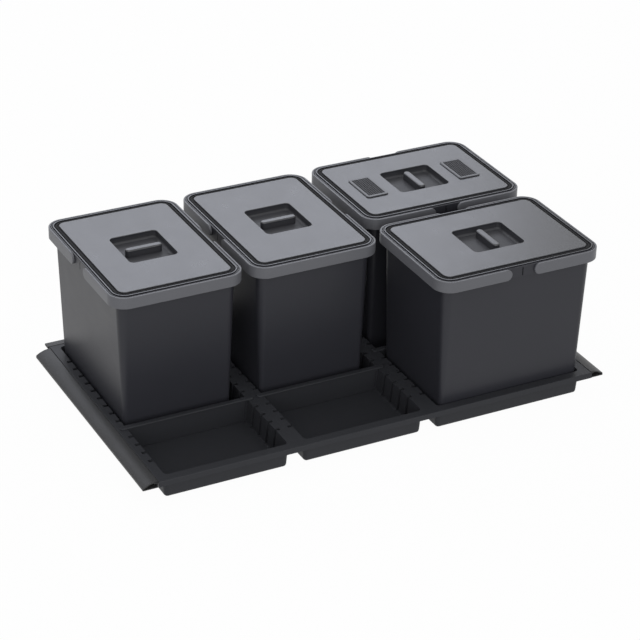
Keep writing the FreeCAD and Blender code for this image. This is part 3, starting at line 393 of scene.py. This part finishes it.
RIM_WEB_SIZES = {
    "across": 0.2044, "along": 0.2774, "corner": 0.0197, "number of webs": 44, "reach": 0.0060,
    "thickness": 0.0012, "height": 0.0095, "narrowing": 0.25, "pin place": 0.0303,
    "pin room": 0.0070, "slit room": 0.0040,
}
LID_RIB_SIZES = {
    "length": 0.1854, "thickness": 0.0016, "height": 0.0028, "narrowing": 0.35, "pitch": 0.024,
    "number of ribs": 3,
}
FILTER_PLEAT_SIZES = {
    "thickness": 0.0019, "height": 0.0016, "narrowing": -0.6, "pitch": 0.0024,
    "number of ribs": 12,
}
LYING_ACROSS = "cd"       # the bins with their long side from left to right
SHELF_BELOW_TOP = 0.0056  # from a bucket's top down to the underside of its shelf
SKIN_BELOW_TOP = 0.0021   # from a lid's top down to the underside of its panel
RIB_ROW_AWAY = 0.086      # from a lid's middle to the middle of a row of ribs
PLEAT_END_ROOM = 0.0024   # how much shorter than the filter the pleats are
PLEAT_RISE = 0.0014       # how far the pleats stand above the filter


def place_at(x, y, z, turned=False):
    """A place on the object, with a quarter turn where the piece is turned."""
    quarter = math.radians(90.0 if turned else 0.0)
    return Matrix.Translation((x, y, z)) @ Matrix.Rotation(quarter, 4, "Z")


def add_rim_webs(letter, pattern):
    """Webs between a bucket's side and its turned-down rim, under the shelf that carries the
    lid."""
    bucket = "bucket_" + letter
    middle = middle_of(bucket)
    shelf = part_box(bucket)[1].z - SHELF_BELOW_TOP
    place = place_at(middle.x, middle.y, shelf, turned=letter in LYING_ACROSS)
    webs = pattern.bake("rim_webs_" + letter, RIM_WEB_SIZES, place)
    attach(webs, "bin_" + letter)


def add_lid_ribs(letter, pattern):
    """Ribs across the underside of a lid, on both sides of the finger recess."""
    lid = "lid_" + letter
    middle = middle_of(lid)
    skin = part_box(lid)[1].z - SKIN_BELOW_TOP
    lying = letter in LYING_ACROSS
    for word, away in (("near", -RIB_ROW_AWAY), ("far", RIB_ROW_AWAY)):
        x, y = (away, 0.0) if lying else (0.0, away)
        place = place_at(middle.x + x, middle.y + y, skin, turned=not lying)
        ribs = pattern.bake("lid_ribs_%s_%s" % (letter, word), LID_RIB_SIZES, place)
        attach(ribs, lid)


def add_filter_pleats(side, pattern):
    """Pleats of the fleece on top of a filter, seen through the mesh."""
    low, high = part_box("charcoal_filter_" + side)
    middle = (low + high) / 2
    sizes = {"length": high.y - low.y - PLEAT_END_ROOM, **FILTER_PLEAT_SIZES}
    place = place_at(middle.x, middle.y, high.z + PLEAT_RISE)
    pleats = pattern.bake("filter_pleats_" + side, sizes, place)
    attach(pleats, "vent_" + side)


rim_webs = rim_web_pattern()
lid_ribs = rib_pattern("lid_ribs", FINISHES["lid_plastic"])
filter_pleats = rib_pattern("filter_pleats", FINISHES["filter_fabric"])

for letter in "abcd":
    add_rim_webs(letter, rim_webs)
for letter in "abd":
    add_lid_ribs(letter, lid_ribs)
for side in ("left", "right"):
    add_filter_pleats(side, filter_pleats)

# ---------------------------------------------------------------------------------------------
# Camera
# ---------------------------------------------------------------------------------------------

CAMERA_PLACE = (-1.5100, -2.8652, 1.8934)
YAW = math.radians(27.846)
PITCH = math.radians(28.798)
ROLL = math.radians(1.41)
FOCAL_PIXELS = 2266.2
FRAME_PIXELS = 640
SENSOR = 36.0

forward = Vector(
    (math.sin(YAW) * math.cos(PITCH), math.cos(YAW) * math.cos(PITCH), -math.sin(PITCH)))
level = Vector((math.cos(YAW), -math.sin(YAW), 0.0))
upright = level.cross(forward)
right = level * math.cos(ROLL) + upright * math.sin(ROLL)
up = upright * math.cos(ROLL) - level * math.sin(ROLL)

camera_data = bpy.data.cameras.new("camera")
camera_data.sensor_width = SENSOR
camera_data.lens = FOCAL_PIXELS / FRAME_PIXELS * SENSOR
camera_data.clip_start = 0.1
camera_data.clip_end = 50.0
camera = new_object("camera", camera_data)
turn = Matrix((right, up, -forward)).transposed().to_4x4()
camera.matrix_world = Matrix.Translation(CAMERA_PLACE) @ turn
scene.camera = camera

# ---------------------------------------------------------------------------------------------
# Floor, backdrop and lamps
# ---------------------------------------------------------------------------------------------

WHITE = (1.0, 1.0, 1.0, 1.0)
FLOOR_COLOUR = (0.6, 0.6, 0.6, 1.0)
FLOOR_GLOW = 0.975     # the share of the floor's white that no shadow darkens
FLOOR_SIZE = 40.0
FLOOR_DROP = 0.0003    # keeps the floor clear of the wells' undersides
ROOM_LIGHT = 0.6
OBJECT_MIDDLE = Vector((0.0, 0.0, 0.15))


def seen_directly(graph):
    """One for what the camera sees, also in a reflection or through something clear."""
    camera_ray = graph.add("ShaderNodeLightPath", {}, {}, "Is Camera Ray")
    glossy_ray = camera_ray.beside("Is Glossy Ray")
    clear_ray = camera_ray.beside("Is Transmission Ray")
    return (camera_ray + glossy_ray + clear_ray) > 0.5


def pale_floor():
    """A plain floor that looks white and still takes the object's shadow."""
    finish = Finish("pale_floor")
    matte = finish.add("ShaderNodeBsdfDiffuse", {}, {"Color": FLOOR_COLOUR})
    glow = finish.add("ShaderNodeEmission", {}, {"Color": WHITE, "Strength": 1.0})
    share = seen_directly(finish) * FLOOR_GLOW
    return finish.show(finish.add("ShaderNodeMixShader", {}, {0: share, 1: matte, 2: glow}))


def add_softbox(name, place, wide, tall, watts, colour=WHITE[:3]):
    """A rectangular studio lamp that faces the object."""
    data = bpy.data.lights.new(name, "AREA")
    data.shape = "RECTANGLE"
    data.size = wide
    data.size_y = tall
    data.energy = watts
    data.color = colour
    lamp = new_object(name, data)
    lamp.location = place
    lamp.rotation_euler = (lamp.location - OBJECT_MIDDLE).to_track_quat("Z", "Y").to_euler()


bpy.ops.mesh.primitive_plane_add(size=FLOOR_SIZE, location=(0.0, 0.0, -FLOOR_DROP))
floor = bpy.context.object
floor.name = "floor"
floor.data.materials.append(pale_floor())

world = bpy.data.worlds.new("studio")
scene.world = world
world.use_nodes = True
world.node_tree.nodes.clear()
room = Graph(world.node_tree)
soft = room.add("ShaderNodeBackground", {}, {"Color": WHITE, "Strength": ROOM_LIGHT})
white = room.add("ShaderNodeBackground", {}, {"Color": WHITE, "Strength": 1.0})
backdrop = room.add("ShaderNodeMixShader", {}, {0: seen_directly(room), 1: soft, 2: white})
room.add("ShaderNodeOutputWorld", {}, {"Surface": backdrop})

add_softbox("overhead", (0.1, 0.3, 2.7), wide=2.6, tall=2.2, watts=16.0)
add_softbox("rear_panel", (0.30, 2.85, 2.02), wide=3.7, tall=1.15, watts=33.5,
            colour=(0.82, 0.865, 1.0))
add_softbox("front_fill", (-1.1, -3.15, 1.45), wide=5.0, tall=2.9, watts=74.0)

scene.view_settings.view_transform = "Standard"
